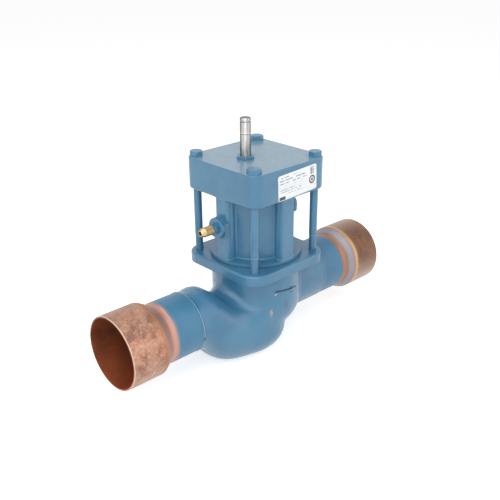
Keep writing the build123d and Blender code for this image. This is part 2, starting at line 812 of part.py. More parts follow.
with BuildPart() as tube_nut:
    with BuildSketch(Plane(origin=(tube_axis_x, 0, cap_top))):
        RegularPolygon(tube_nut_flats / 2, 6, major_radius=False, rotation=45)
    extrude(amount=tube_nut_height)
    with BuildSketch(Plane(origin=(tube_axis_x, 0, oring_top))):
        Circle(tube_pocket_r - 0.1)
    extrude(amount=cap_top - oring_top)
    with BuildSketch(tube_section):
        with BuildLine():
            nut_top = cap_top + tube_nut_height
            nut_chamfer_r = tube_nut_flats / 2 - hex_chamfer_start
            nut_corner_r = tube_nut_flats / 2 * hex_corner_ratio + hex_chamfer_start
            Polyline(
                (nut_chamfer_r, nut_top),
                (nut_corner_r, nut_top),
                (nut_corner_r, nut_top - hex_chamfer),
                (nut_chamfer_r, nut_top),
            )
        make_face()
    revolve(axis=tube_axis, mode=Mode.SUBTRACT)
    with BuildSketch(Plane(origin=(tube_axis_x, 0, oring_top))):
        Circle(tube_shoulder_r + 0.15)
    extrude(amount=nut_top - oring_top + 1, mode=Mode.SUBTRACT)
    slot_way = Rot(0, 0, 225)
    with BuildSketch(Plane(origin=(tube_axis_x, 0, nut_top)) * slot_way):
        with Locations((tube_nut_flats / 2, 0)):
            Rectangle(tube_nut_flats, tube_nut_slot)
    extrude(amount=-tube_nut_slot_depth, mode=Mode.SUBTRACT)
tube_nut.part.label = "tube_nut"
export_step(tube_nut.part, "parts/tube_nut.step")

# Fixed core: closes the tube, grooved and domed at its free end
with BuildPart() as fixed_core:
    with BuildSketch(tube_section):
        with BuildLine():
            groove_bottom_r = tube_outer_r - core_groove_depth
            Polyline(
                (0, core_end_z),
                (tube_inner_r - 0.05, core_end_z),
                (tube_inner_r - 0.05, tube_top),
                (tube_outer_r, tube_top),
                (tube_outer_r, core_groove_z),
                (groove_bottom_r, core_groove_z + 0.4),
                (groove_bottom_r, core_groove_z + core_groove_width),
                (tube_outer_r, core_groove_z + core_groove_width + 0.4),
                (tube_outer_r, core_top_z - core_dome_round),
            )
            RadiusArc(
                (tube_outer_r, core_top_z - core_dome_round),
                (tube_outer_r - core_dome_round, core_top_z),
                -core_dome_round,
            )
            Polyline((tube_outer_r - core_dome_round, core_top_z), (0, core_top_z), (0, core_end_z))
        make_face()
    revolve(axis=tube_axis)
fixed_core.part.label = "fixed_core"
export_step(fixed_core.part, "parts/fixed_core.step")

# Plunger: carries the pilot seal below and the return spring above
with BuildPart() as plunger:
    with BuildSketch(tube_section):
        with BuildLine():
            plunger_top = plunger_bottom + plunger_length
            pocket_floor = plunger_top - plunger_spring_pocket
            seal_top = plunger_seal_bottom + plunger_seal_length
            Polyline(
                (0, seal_top),
                (plunger_seal_r + 0.05, seal_top),
                (plunger_seal_r + 0.05, plunger_bottom),
                (plunger_r, plunger_bottom),
                (plunger_r, plunger_top),
                (plunger_spring_pocket_r, plunger_top),
                (plunger_spring_pocket_r, pocket_floor),
                (0, pocket_floor),
                (0, seal_top),
            )
        make_face()
    revolve(axis=tube_axis)
plunger.part.label = "plunger"
export_step(plunger.part, "parts/plunger.step")

with BuildPart() as plunger_seal:
    with BuildSketch(Plane(origin=(tube_axis_x, 0, plunger_seal_bottom))):
        Circle(plunger_seal_r)
    extrude(amount=plunger_seal_length)
plunger_seal.part.label = "plunger_seal"
export_step(plunger_seal.part, "parts/plunger_seal.step")

with BuildPart() as plunger_spring:
    small_length = core_end_z - pocket_floor
    small_pitch = (small_length - 2 * plunger_spring_wire_r) / plunger_spring_turns
    with BuildLine():
        Helix(
            small_pitch,
            small_pitch * plunger_spring_turns,
            plunger_spring_mean_r,
            center=(tube_axis_x, 0, pocket_floor + plunger_spring_wire_r),
        )
    with BuildSketch(
        Plane(
            origin=(tube_axis_x + plunger_spring_mean_r, 0, pocket_floor + plunger_spring_wire_r),
            x_dir=(1, 0, 0),
            z_dir=(0, -1, 0),
        )
    ):
        RegularPolygon(plunger_spring_wire_r, plunger_spring_sides)
    sweep(is_frenet=True)
plunger_spring.part.label = "plunger_spring"
export_step(plunger_spring.part, "parts/plunger_spring.step")

# Port bushing on the inlet side: hexagon, collar and a tail in the lobe
with BuildPart() as port_bushing:
    with BuildSketch(station(-port_face, port_z)):
        RegularPolygon(port_hex_flats / 2, 6, major_radius=False, rotation=90)
    extrude(amount=-port_hex_thickness)
    with BuildSketch(station(-port_face - port_hex_thickness, port_z)):
        Circle(bushing_collar_r)
    extrude(amount=-bushing_collar_length)
    fillet(port_bushing.edges().group_by(Axis.X)[0], bushing_collar_round)
    with BuildSketch(station(-port_face, port_z)):
        Circle(port_tail_r)
    extrude(amount=port_tail_length)
    with BuildSketch(station(-port_face - port_hex_thickness - bushing_collar_length, port_z)):
        Circle(fitting_tail_r + 0.05)
    extrude(amount=port_hex_thickness + bushing_collar_length + port_tail_length, mode=Mode.SUBTRACT)
port_bushing.part.label = "port_bushing"
export_step(port_bushing.part, "parts/port_bushing.step")

# Access fitting: small hexagon, threaded barrel and a coned nose
with BuildPart() as access_fitting:
    collar_end = -port_face - port_hex_thickness - bushing_collar_length
    tail_end = collar_end + fitting_tail_length
    hex_end = collar_end - fitting_hex_length
    thread_end = hex_end - fitting_thread_length
    nose_end = thread_end - fitting_nose_length
    with BuildSketch(port_section):
        with BuildLine():
            Polyline(
                (tail_end, fitting_bore_r),
                (tail_end, fitting_tail_r),
                (hex_end, fitting_tail_r),
                (hex_end, fitting_thread_r),
                (thread_end, fitting_thread_r),
                (nose_end, fitting_nose_r),
                (nose_end, fitting_bore_r),
                (tail_end, fitting_bore_r),
            )
        make_face()
    revolve(axis=port_axis)
    with BuildSketch(station(collar_end, port_z)):
        RegularPolygon(fitting_hex_flats / 2, 6, major_radius=False, rotation=90)
        Circle(fitting_tail_r - 0.2, mode=Mode.SUBTRACT)
    extrude(amount=-fitting_hex_length)
access_fitting.part.label = "access_fitting"
export_step(access_fitting.part, "parts/access_fitting.step")

# Valve core in the access fitting and the pin that opens it
with BuildPart() as valve_core:
    sleeve_end = nose_end + core_sleeve_recess
    with BuildSketch(station(sleeve_end, port_z)):
        Circle(core_sleeve_r)
        Circle(core_sleeve_bore_r, mode=Mode.SUBTRACT)
    extrude(amount=core_sleeve_length)
valve_core.part.label = "valve_core"
export_step(valve_core.part, "parts/valve_core.step")

with BuildPart() as core_pin:
    with BuildSketch(station(nose_end + core_pin_recess, port_z)):
        Circle(core_pin_r)
    extrude(amount=core_sleeve_length + core_pin_overrun)
    with BuildSketch(station(sleeve_end + core_sleeve_length + core_pin_cup_gap, port_z)):
        Circle(core_pin_cup_r)
    extrude(amount=core_pin_cup_length)
core_pin.part.label = "core_pin"
export_step(core_pin.part, "parts/core_pin.step")

# Port plug on the outlet side: hexagon with a deep chamfer and a tail in the lobe
with BuildPart() as port_plug:
    with BuildSketch(station(port_face, port_z)):
        RegularPolygon(port_hex_flats / 2, 6, major_radius=False, rotation=90)
    extrude(amount=port_hex_thickness)
    with BuildSketch(port_section):
        with BuildLine():
            plug_face = port_face + port_hex_thickness
            plug_chamfer_r = port_hex_flats / 2 - plug_chamfer
            plug_corner_r = port_hex_flats / 2 * hex_corner_ratio + plug_chamfer
            Polyline(
                (plug_face, plug_chamfer_r),
                (plug_face, plug_corner_r),
                (plug_face - plug_chamfer_drop, plug_corner_r),
                (plug_face, plug_chamfer_r),
            )
        make_face()
    revolve(axis=port_axis, mode=Mode.SUBTRACT)
    with BuildSketch(station(port_face, port_z)):
        Circle(port_tail_r)
    extrude(amount=-port_tail_length)
port_plug.part.label = "port_plug"
export_step(port_plug.part, "parts/port_plug.step")
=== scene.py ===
import math

import bmesh
import bpy
from mathutils import Matrix, Vector


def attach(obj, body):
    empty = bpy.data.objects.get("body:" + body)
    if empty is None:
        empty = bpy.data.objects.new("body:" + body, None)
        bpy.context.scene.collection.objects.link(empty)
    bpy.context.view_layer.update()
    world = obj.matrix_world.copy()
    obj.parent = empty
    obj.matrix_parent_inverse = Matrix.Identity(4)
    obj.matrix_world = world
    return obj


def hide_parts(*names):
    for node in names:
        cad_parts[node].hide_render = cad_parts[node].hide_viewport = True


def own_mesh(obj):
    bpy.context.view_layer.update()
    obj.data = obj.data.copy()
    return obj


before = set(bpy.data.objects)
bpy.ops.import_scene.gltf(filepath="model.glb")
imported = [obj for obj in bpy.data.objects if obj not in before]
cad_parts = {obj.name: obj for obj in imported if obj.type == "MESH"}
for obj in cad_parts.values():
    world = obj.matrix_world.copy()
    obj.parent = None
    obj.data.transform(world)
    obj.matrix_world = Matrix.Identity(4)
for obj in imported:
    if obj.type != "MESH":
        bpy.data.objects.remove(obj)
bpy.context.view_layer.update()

# Lengths are in millimetres unless a comment says metres
MM = 0.001
VALVE_X = 209.3
OUTLET_MOUTH_X = 394.8
CAP_HALF = 57.75
CAP_BOTTOM = 134.2
CAP_BOTTOM_ROUND = 2.6
FLOOR_Z = -64.5


def vx(x, y, z):
    """A point given in millimetres from the valve axis, in metres in the part's frame."""
    return Vector(((VALVE_X + x) * MM, y * MM, z * MM))


def srgb(r, g, b):
    """A colour given as 0 to 255 display values, as linear light."""
    out = []
    for c in (r, g, b):
        c = c / 255
        out.append(c / 12.92 if c <= 0.04045 else ((c + 0.055) / 1.055) ** 2.4)
    return (out[0], out[1], out[2], 1.0)


def darker(color, share):
    return tuple(c * share for c in color[:3]) + (1,)


class Net:
    """A material's node tree with short helpers for its nodes."""

    def __init__(self, name):
        self.mat = bpy.data.materials.new(name)
        self.mat.use_nodes = True
        self.tree = self.mat.node_tree
        self.shader = self.tree.nodes["Principled BSDF"]
        self.coord = self.tree.nodes.new("ShaderNodeTexCoord").outputs["Object"]
        self.normal_in = None

    def link(self, a, b):
        self.tree.links.new(a, b)

    def put(self, node, key, value):
        """Links a socket or sets a value on a node's input; None leaves it alone."""
        if isinstance(value, bpy.types.NodeSocket):
            self.link(value, node.inputs[key])
        elif value is not None:
            node.inputs[key].default_value = value

    def place(self, scale=(1, 1, 1), offset=(0, 0, 0), coord=None):
        node = self.tree.nodes.new("ShaderNodeMapping")
        self.put(node, "Vector", coord or self.coord)
        node.inputs["Scale"].default_value = scale
        node.inputs["Location"].default_value = offset
        return node.outputs[0]

    def noise(self, scale, detail=3.0, rough=0.55, coord=None, distortion=0.0):
        node = self.tree.nodes.new("ShaderNodeTexNoise")
        self.put(node, "Vector", coord or self.coord)
        self.put(node, "Scale", scale)
        self.put(node, "Detail", detail)
        self.put(node, "Roughness", rough)
        self.put(node, "Distortion", distortion)
        return node.outputs["Fac"]

    def wander(self, scale, detail, rough, reach):
        """Noise round zero, about as far as reach each way."""
        return self.times(self.minus(self.noise(scale, detail, rough), 0.5), reach)

    def math(self, op, a, b=None, clamp=False):
        node = self.tree.nodes.new("ShaderNodeMath")
        node.operation = op
        node.use_clamp = clamp
        self.put(node, 0, a)
        self.put(node, 1, b)
        return node.outputs[0]

    def plus(self, a, b):
        return self.math("ADD", a, b)

    def minus(self, a, b):
        return self.math("SUBTRACT", a, b)

    def times(self, a, b):
        return self.math("MULTIPLY", a, b)

    def apart(self, a, b):
        return self.math("ABSOLUTE", self.minus(a, b))

    def long(self, a, b):
        """The length of a vector with parts a and b."""
        return self.math("SQRT", self.plus(self.times(a, a), self.times(b, b)))

    def span(self, value, low, high, to_low=0.0, to_high=1.0):
        node = self.tree.nodes.new("ShaderNodeMapRange")
        node.interpolation_type = "SMOOTHSTEP"
        self.put(node, "Value", value)
        self.put(node, "From Min", low)
        self.put(node, "From Max", high)
        self.put(node, "To Min", to_low)
        self.put(node, "To Max", to_high)
        return node.outputs[0]

    def mix(self, amount, a, b):
        node = self.tree.nodes.new("ShaderNodeMix")
        node.data_type = "RGBA"
        node.blend_type = "MIX"
        self.put(node, 0, amount)
        self.put(node, 6, a)
        self.put(node, 7, b)
        return node.outputs[2]

    def lay(self, base, mask, amount, color):
        """A colour laid over base where mask is 1, as strongly as amount says."""
        return self.mix(self.times(mask, amount), base, color)

    def tint(self, mask, amount, color):
        """A colour laid over what the shader shows so far."""
        shown = self.shader.inputs["Base Color"].links[0].from_socket
        self.color(self.lay(shown, mask, amount, color))

    def axes(self, coord=None):
        node = self.tree.nodes.new("ShaderNodeSeparateXYZ")
        self.link(coord or self.coord, node.inputs[0])
        return node.outputs

    def facing(self):
        """0 where the surface faces the eye, 1 at its outline."""
        return self.tree.nodes.new("ShaderNodeLayerWeight").outputs["Facing"]

    def near(self, point, inner, outer, stretch=(1, 1, 1), ragged=0.0):
        """1 inside a soft ball round a point given from the valve axis, 0 outside it."""
        moved = self.place(offset=tuple(-c for c in vx(*point)))
        scaled = self.place(scale=stretch, coord=moved)
        node = self.tree.nodes.new("ShaderNodeVectorMath")
        node.operation = "LENGTH"
        self.link(scaled, node.inputs[0])
        reach = node.outputs["Value"]
        if ragged:
            reach = self.plus(reach, self.wander(620, 4, 0.7, ragged * MM))
        return self.span(reach, outer * MM, inner * MM)

    def line_at(self, value, centre, half):
        """1 on a soft line where a value in metres passes a centre in millimetres."""
        return self.span(self.apart(value, centre * MM), half * 1.6 * MM, half * 0.5 * MM)

    def bump(self, height, strength, distance):
        """Adds a bump over the ones before it; distance is in metres."""
        node = self.tree.nodes.new("ShaderNodeBump")
        node.inputs["Strength"].default_value = strength
        node.inputs["Distance"].default_value = distance
        self.link(height, node.inputs["Height"])
        if self.normal_in is not None:
            self.link(self.normal_in, node.inputs["Normal"])
        self.normal_in = node.outputs[0]
        self.link(self.normal_in, self.shader.inputs["Normal"])

    def color(self, value):
        self.put(self.shader, "Base Color", value)

    def rough(self, value):
        self.put(self.shader, "Roughness", value)

    def metal(self, value):
        self.put(self.shader, "Metallic", value)

    def coat(self, weight, rough):
        self.shader.inputs["Coat Weight"].default_value = weight
        self.shader.inputs["Coat Roughness"].default_value = rough


BLUE = srgb(58, 114, 147)
BLUE_DEEP = srgb(50, 104, 140)
BLUE_PALE = srgb(68, 124, 155)
# Lighter grey of the cap's flat top: worn paint with a painted reflection
TOP_REFLECTION_AND_WEAR = srgb(112, 144, 164)
# Painted highlight for edges, the parting seam and the bolts' shank ends
BLUE_HIGHLIGHT = srgb(158, 194, 212)
BLUE_SHADE = srgb(40, 82, 112)
# Soot, specks and a paint flaw, also the painted shadow above the flow arrow
SOOT_AND_SHADOW = srgb(38, 56, 76)
BARE_SPOT = srgb(176, 152, 138)
SMUDGE = srgb(74, 96, 118)
# Painted highlight on the flow arrow's corner
ARROW_CORNER_HIGHLIGHT = srgb(206, 222, 232)
PAINT_ROUGH = (0.34, 0.44)


def paint_color(net):
    """The blue enamel: even, with slight broad change."""
    base = net.mix(net.span(net.noise(30, 3, 0.5), 0.3, 0.7), BLUE, BLUE_PALE)
    return net.lay(base, net.span(net.noise(11, 2, 0.5), 0.5, 0.75), 0.6, BLUE_DEEP)


def paint(name, cast=0.0):
    """Satin enamel; cast is how much of the casting's skin shows through it."""
    net = Net(name)
    net.color(paint_color(net))
    net.rough(net.span(net.noise(160, 3, 0.6), 0.3, 0.7, *PAINT_ROUGH))
    net.coat(0.4, 0.22)
    net.bump(net.noise(380, 2, 0.5), 0.07, 0.0004)
    if cast:
        net.bump(net.noise(85, 2, 0.5), 0.30 * cast, 0.0016)
        net.bump(net.noise(300, 3, 0.6), 0.26 * cast, 0.0009)
        net.bump(net.noise(900, 3, 0.7), 0.22 * cast, 0.0005)
    return net


# Ends of the two hubs, from the valve axis: place, side the hub lies on, how strong the painted
# highlight on the edge is
HUB_ENDS = ((-112.0, 1.0, 0.6), (88.2, -1.0, 0.2))


def hub_lines(net, x):
    """A painted highlight on each hub's edge, with a line of painted shade beside it."""
    for end, hub_side, shine in HUB_ENDS:
        # Painted shade beside the edge, then the painted highlight on it
        net.tint(net.line_at(x, VALVE_X + end + 1.3 * hub_side, 1.0), 0.6, BLUE_SHADE)
        net.tint(net.line_at(x, VALVE_X + end, 0.5), shine, BLUE_HIGHLIGHT)


def parting_seam(net, x, y, z):
    """The casting's parting line, which wanders down the inlet side of the neck: a painted
    highlight along it, with a bump.
    """
    seam_y = net.times(net.span(z, 0.036, 0.004), 0.008)
    seam = net.line_at(net.minus(y, seam_y), 3.2, 0.35)
    height = net.times(net.span(z, 0.002, 0.008), net.span(z, 0.044, 0.040))
    inlet_side = net.math("LESS_THAN", x, (VALVE_X - 48) * MM)
    seam = net.times(net.times(seam, height), inlet_side)
    # Painted highlight along the seam's ridge
    net.tint(seam, 0.45, BLUE_HIGHLIGHT)
    net.bump(seam, 0.5, 0.0004)


def arrow_shadow(net, x, y, z):
    """Painted shadow along the upper edge of the flow arrow."""
    from_axis = net.minus(x, VALVE_X * MM)
    slope = net.plus(z, net.times(from_axis, 0.1))
    shadow = net.times(net.line_at(slope, 21.5, 0.7), net.math("LESS_THAN", y, -0.04))
    reach = net.math("ABSOLUTE", from_axis)
    shadow = net.times(shadow, net.span(reach, 0.0182, 0.0160))
    # Painted shadow in the dark tone
    net.tint(shadow, 0.85, SOOT_AND_SHADOW)


def body_paint():
    """Painted casting with small marks: rust, a smudge, dark specks, painted highlights and
    shade on the hub edges and seam, and a painted highlight and shadow at the flow arrow.
    """
    net = paint("body_enamel", cast=1.0)
    x, y, z = net.axes()
    net.tint(net.near((-21.6, -48.6, -4.0), 1.0, 4.0, (1.5, 1.0, 0.6), 6.0), 0.9, BARE_SPOT)
    net.tint(net.near((-1.6, -52.8, 2.3), 1.0, 7.2, (1.3, 1.0, 0.7), 6.0), 0.8, SMUDGE)
    # Painted highlight on the flow arrow's lower left corner
    net.tint(net.near((-17.2, -51.4, 19.0), 0.8, 2.2), 0.8, ARROW_CORNER_HIGHLIGHT)
    net.tint(net.near((-50.9, 10.8, 35.0), 0.3, 1.0), 1.0, SOOT_AND_SHADOW)
    hub_lines(net, x)
    net.tint(net.near((-111.6, -35.2, -8.0), 0.7, 1.9, (1.4, 1.0, 0.5)), 1.0, SOOT_AND_SHADOW)
    parting_seam(net, x, y, z)
    arrow_shadow(net, x, y, z)
    return net.mat


def cap_paint():
    """Painted cover: its flat top is lighter and greyer from worn paint and a painted
    reflection, with faint machining under the cap's paint.
    """
    net = paint("cover_enamel", cast=0.1)
    net.coat(0.45, 0.12)
    normal = net.tree.nodes.new("ShaderNodeNewGeometry").outputs["Normal"]
    z = net.axes()[2]
    # Painted reflection with some wear: the flat top is tinted lighter grey
    reflecting_worn_top = net.times(net.span(net.axes(normal)[2], 0.85, 0.98), net.span(z, 0.168, 0.170))
    net.tint(reflecting_worn_top, 1.0, TOP_REFLECTION_AND_WEAR)
    turned = net.noise(1.0, 2, 0.5, net.place((5, 5, 1100)))
    on_cap_height = net.span(z, 0.136, 0.140)
    net.tint(net.times(net.span(turned, 0.56, 0.68), 0.22), on_cap_height, BLUE_SHADE)
    net.bump(turned, 0.05, 0.0002)
    return net.mat


BOLT_PITCH = 1.59


def bolt_paint():
    """Painted bolts: thread ridges show through the paint at their lower ends, with painted
    shade on the threads and a painted highlight where the shank ends.
    """
    net = paint("bolt_enamel")
    z = net.axes()[2]
    turn = net.math("FRACT", net.times(z, 1 / (BOLT_PITCH * MM)))
    ridge = net.apart(turn, 0.5)
    threaded = net.span(z, 0.0745, 0.0738)
    # Painted shade on the threaded part, then a painted highlight at the shank's end
    net.tint(threaded, 0.12, BLUE_SHADE)
    net.tint(net.line_at(z, 74.8, 0.4), 0.2, BLUE_HIGHLIGHT)
    net.bump(net.times(ridge, threaded), 0.6, 0.0005)
    return net.mat


NEAR_CUP = {
    "base": srgb(174, 134, 112),
    "dark": srgb(132, 92, 76),
    "warm": srgb(182, 132, 108),
    "pale": srgb(204, 166, 144),
    "grain": 1.0,
    "sheen": 0.35,
    "rough": (0.46, 0.60),
    "shoulder": srgb(166, 112, 76),
    "neck": srgb(160, 128, 120),
    "flare": srgb(196, 146, 128),
}
FAR_CUP = {
    "base": srgb(106, 71, 50),
    "dark": srgb(88, 58, 42),
    "warm": srgb(124, 77, 50),
    "pale": srgb(150, 114, 90),
    "grain": 0.35,
    "sheen": 0.75,
    "rough": (0.36, 0.48),
    # Pale shoulder band: heat tint with a painted highlight
    "shoulder": srgb(208, 170, 122),
    "neck": srgb(150, 148, 158),
    "flare": srgb(164, 120, 94),
}
OUTLINE_SHEEN = srgb(188, 164, 148)
# Pale rim at the mouth: cut copper with a painted highlight
CUT_RIM_AND_HIGHLIGHT = srgb(224, 206, 192)
# Heat tint, with a painted highlight in the far cup's pale shoulder band, by millimetres in
# from the mouth: start, full, held to, end, strength, tone
HEAT_BANDS = (
    (37, 41.5, 42.5, 47, 0.7, "shoulder"),
    (42, 47.5, 50, 57, 0.9, "neck"),
    (50, 57, 61, 68, 0.9, "flare"),
)
SHOULDER_RUN = (42.5, 55.0)
CUP_WALL_R = 41.2
SMALL_CUP_WALL_R = 33.9
PAINT_EDGE = (58.8, 66.2)
COPPER_METALLIC = 0.6


def mottle(net, tones, patch, cloud, fine):
    """The cup's oxide: broad warm areas, then ever finer dark and pale patches, and a painted
    sheen towards the outline.
    """
    grain = tones["grain"]
    broad = net.noise(30, 3, 0.5, distortion=0.3)
    base = net.mix(net.span(broad, 0.38, 0.66), tones["base"], tones["warm"])
    for field, dark, dark_amount, pale, pale_amount in (
        (patch, (0.46, 0.64), 0.85, (0.44, 0.28), 0.65),
        (cloud, (0.52, 0.70), 0.75 * grain, (0.48, 0.30), 0.65 * grain),
        (fine, (0.52, 0.72), 0.6 * grain, (0.48, 0.28), 0.5 * grain),
    ):
        base = net.lay(base, net.span(field, *dark), dark_amount, tones["dark"])
        base = net.lay(base, net.span(field, *pale), pale_amount, tones["pale"])
    base = net.lay(base, net.span(net.facing(), 0.25, 0.85), tones["sheen"], OUTLINE_SHEEN)
    return base, broad


def inner_wall(net, z, way):
    """The bore's darker oxide, with painted light making it redder low down and painted shade
    making it darker further in.
    """
    clouds = net.span(net.noise(46, 5, 0.65), 0.38, 0.62)
    inner = net.mix(clouds, srgb(112, 68, 50), srgb(156, 88, 56))
    # Painted light: redder and brighter low down in the bore
    inner = net.lay(inner, net.span(z, 0.01, -0.034), 0.6, srgb(178, 92, 52))
    # Painted shade: darker further into the bore
    return net.lay(inner, net.span(way, 2.0, 40.0), 0.35, srgb(130, 72, 46))


def copper(name, mouth_x, inward, tones):
    """Copper reducer: mottled cup, heat tint round the shoulder, paint over the small cup."""
    net = Net(name)
    x, y, z = net.axes()
    way = net.times(net.minus(x, mouth_x * MM), inward / MM)
    patch = net.noise(64, 5, 0.62, net.place(offset=(0.7, 0.2, 0.4)))
    cloud = net.noise(210, 4, 0.7)
    fine = net.noise(760, 3, 0.7)
    base, broad = mottle(net, tones, patch, cloud, fine)
    run = net.plus(way, net.wander(38, 3, 0.5, 3.5))
    for start, full, hold, end, amount, tone in HEAT_BANDS:
        band = net.times(net.span(run, start, full), net.span(run, end, hold))
        base = net.lay(base, band, amount, tones[tone])
    wall = net.span(way, *SHOULDER_RUN, CUP_WALL_R * MM, SMALL_CUP_WALL_R * MM)
    inside = net.span(net.minus(net.long(y, z), wall), 0.0003, -0.0003)
    outside = net.minus(1.0, inside)
    base = net.mix(inside, base, inner_wall(net, z, way))
    # Cut copper rim with a painted highlight
    base = net.lay(base, net.times(net.span(way, 0.8, 0.2), outside), 0.85, CUT_RIM_AND_HIGHLIGHT)
    edge = net.plus(net.plus(way, net.wander(80, 4, 0.6, 4.0)), net.wander(900, 2, 0.6, 4.0))
    painted = net.times(net.span(edge, *PAINT_EDGE), outside)
    net.color(net.mix(painted, base, paint_color(net)))
    bare_metal = net.math(
        "SUBTRACT", COPPER_METALLIC, net.times(painted, COPPER_METALLIC), clamp=True
    )
    net.metal(bare_metal)
    copper_rough = net.span(fine, 0.3, 0.7, *tones["rough"])
    net.rough(net.mix(painted, copper_rough, net.span(broad, 0.3, 0.7, *PAINT_ROUGH)))
    net.bump(cloud, 0.10, 0.0006)
    net.bump(net.noise(24, 2, 0.5), 0.10, 0.002)
    return net.mat


def bright_metal(name, shade, rough, lines=(40, 40, 2600)):
    """Machined metal with fine lines; lines scales the noise along each axis."""
    net = Net(name)
    scratch = net.noise(1.0, 3, 0.6, net.place(lines))
    cloud = net.noise(90, 3, 0.6)
    net.color(net.mix(net.span(cloud, 0.3, 0.75), shade, darker(shade, 0.72)))
    net.metal(1.0)
    net.rough(net.span(scratch, 0.25, 0.75, rough - 0.05, rough + 0.10))
    net.bump(scratch, 0.12, 0.0002)
    return net.mat


def tube_metal():
    """Drawn stainless tube with streaks along it, a painted highlight down its middle, painted
    dark reflection towards its outline, and a fine joint at the core's foot with a painted
    glint beside it.
    """
    net = Net("tube_steel")
    z = net.axes()[2]
    streak = net.noise(1.0, 3, 0.55, net.place((520, 520, 8)))
    base = net.mix(net.span(streak, 0.3, 0.7), srgb(178, 178, 178), srgb(150, 147, 145))
    facing = net.facing()
    # Painted highlight where the tube faces the eye
    base = net.lay(base, net.span(facing, 0.12, 0.02), 0.6, srgb(212, 212, 211))
    # Painted dark reflection towards the outline
    base = net.lay(base, net.span(facing, 0.22, 0.70), 0.95, srgb(74, 79, 83))
    base = net.lay(base, net.line_at(z, 200.0, 0.35), 0.75, srgb(96, 88, 84))
    # Painted glint beside the joint
    base = net.lay(base, net.line_at(z, 201.2, 0.5), 0.35, srgb(226, 226, 225))
    net.color(base)
    net.metal(1.0)
    net.rough(net.span(streak, 0.25, 0.75, 0.22, 0.30))
    net.bump(streak, 0.02, 0.0002)
    return net.mat


def plain(name, shade, rough, grain=300.0, metallic=0.0):
    """A grained material for the hidden iron, seal and gasket pieces."""
    net = Net(name)
    grains = net.span(net.noise(grain, 4, 0.6), 0.3, 0.7)
    net.color(net.mix(grains, shade, darker(shade, 0.6)))
    net.metal(metallic)
    net.rough(net.span(net.noise(grain * 2, 3, 0.6), 0.3, 0.7, rough - 0.06, rough + 0.08))
    net.bump(net.noise(grain * 3, 3, 0.6), 0.15, 0.0003)
    return net.mat


def dress(material, *nodes):
    for node in nodes:
        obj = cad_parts[node]
        obj.data.materials.clear()
        obj.data.materials.append(material)


SHARP_ANGLE = math.radians(32)


def new_piece(name, fill, materials, body):
    """A smooth mesh piece made by fill(bm), riding on a body."""
    mesh = bpy.data.meshes.new(name)
    bm = bmesh.new()
    fill(bm)
    bmesh.ops.recalc_face_normals(bm, faces=bm.faces)
    bm.to_mesh(mesh)
    bm.free()
    obj = bpy.data.objects.new(name, mesh)
    bpy.context.collection.objects.link(obj)
    for material in materials:
        mesh.materials.append(material)
    for poly in mesh.polygons:
        poly.use_smooth = True
    mesh.set_sharp_from_angle(angle=SHARP_ANGLE)
    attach(obj, body)
    return obj


def skin(bm, rows, close=False, material=0):
    """Quads between neighbouring rows of points; close joins the rows' ends."""
    rings = [[bm.verts.new(p) for p in row] for row in rows]
    for a, b in zip(rings, rings[1:]):
        count = len(a) if close else len(a) - 1
        for i in range(count):
            j = (i + 1) % len(a)
            face = bm.faces.new((a[i], a[j], b[j], b[i]))
            face.material_index = material
    return rings


# Label: a thin sheet with generic bars, wrapped over the cap's lower round
LABEL_W = 60.8
LABEL_H = 29.2
LABEL_TILT = math.radians(2.5)
LABEL_X = -20.9
LABEL_Z = 135.1
LABEL_CORNER = 2.6
LABEL_PROUD = 0.14
LABEL_SUNK = 0.05
CORNER_STEPS = 6
HEIGHT_STEPS = 40
WIDTH_STEPS = 60


def on_cap(u, v, proud):
    """A point of the label: u along it, v up it, on the cap's -Y face or its lower round."""
    x = LABEL_X + u * math.cos(LABEL_TILT) - v * math.sin(LABEL_TILT)
    z = LABEL_Z + u * math.sin(LABEL_TILT) + v * math.cos(LABEL_TILT)
    flat = CAP_BOTTOM + CAP_BOTTOM_ROUND
    if z >= flat:
        return vx(x, -CAP_HALF - proud, z)
    angle = (flat - z) / CAP_BOTTOM_ROUND
    reach = CAP_BOTTOM_ROUND + proud
    y = -(CAP_HALF - CAP_BOTTOM_ROUND) - reach * math.cos(angle)
    return vx(x, y, flat - reach * math.sin(angle))


def label_rows(proud):
    """Rows of points from the label's foot to its top, shorter where its corners are round."""
    quarter = math.pi / 2 / CORNER_STEPS
    steps = [LABEL_CORNER * (1 - math.cos(quarter * k)) for k in range(CORNER_STEPS + 1)]
    straight = LABEL_H - 2 * LABEL_CORNER
    middle = [LABEL_CORNER + straight * k / HEIGHT_STEPS for k in range(1, HEIGHT_STEPS)]
    rows = []
    for v in steps + middle + [LABEL_H - h for h in reversed(steps)]:
        depth = min(v, LABEL_H - v, LABEL_CORNER)
        drop = LABEL_CORNER - depth
        inset = LABEL_CORNER - math.sqrt(max(0.0, LABEL_CORNER**2 - drop**2))
        width = LABEL_W - 2 * inset
        across = [inset + width * k / WIDTH_STEPS for k in range(WIDTH_STEPS + 1)]
        rows.append([on_cap(u, v, proud) for u in across])
    return rows


def rim_of(rows):
    """The vertices round a sheet's edge, in order."""
    left = [row[0] for row in rows]
    right = [row[-1] for row in reversed(rows[:-1])]
    return left + rows[-1][1:] + right + rows[0][-2:0:-1]


def fill_label(bm):
    front = rim_of(skin(bm, label_rows(LABEL_PROUD)))
    back = rim_of(skin(bm, label_rows(-LABEL_SUNK)))
    for i in range(len(front)):
        j = (i + 1) % len(front)
        bm.faces.new((front[i], front[j], back[j], back[i]))


INK = srgb(52, 58, 68)
INK_DARK = srgb(36, 38, 44)
INK_COLUMN = srgb(40, 42, 48)
INK_DOT = srgb(52, 54, 62)
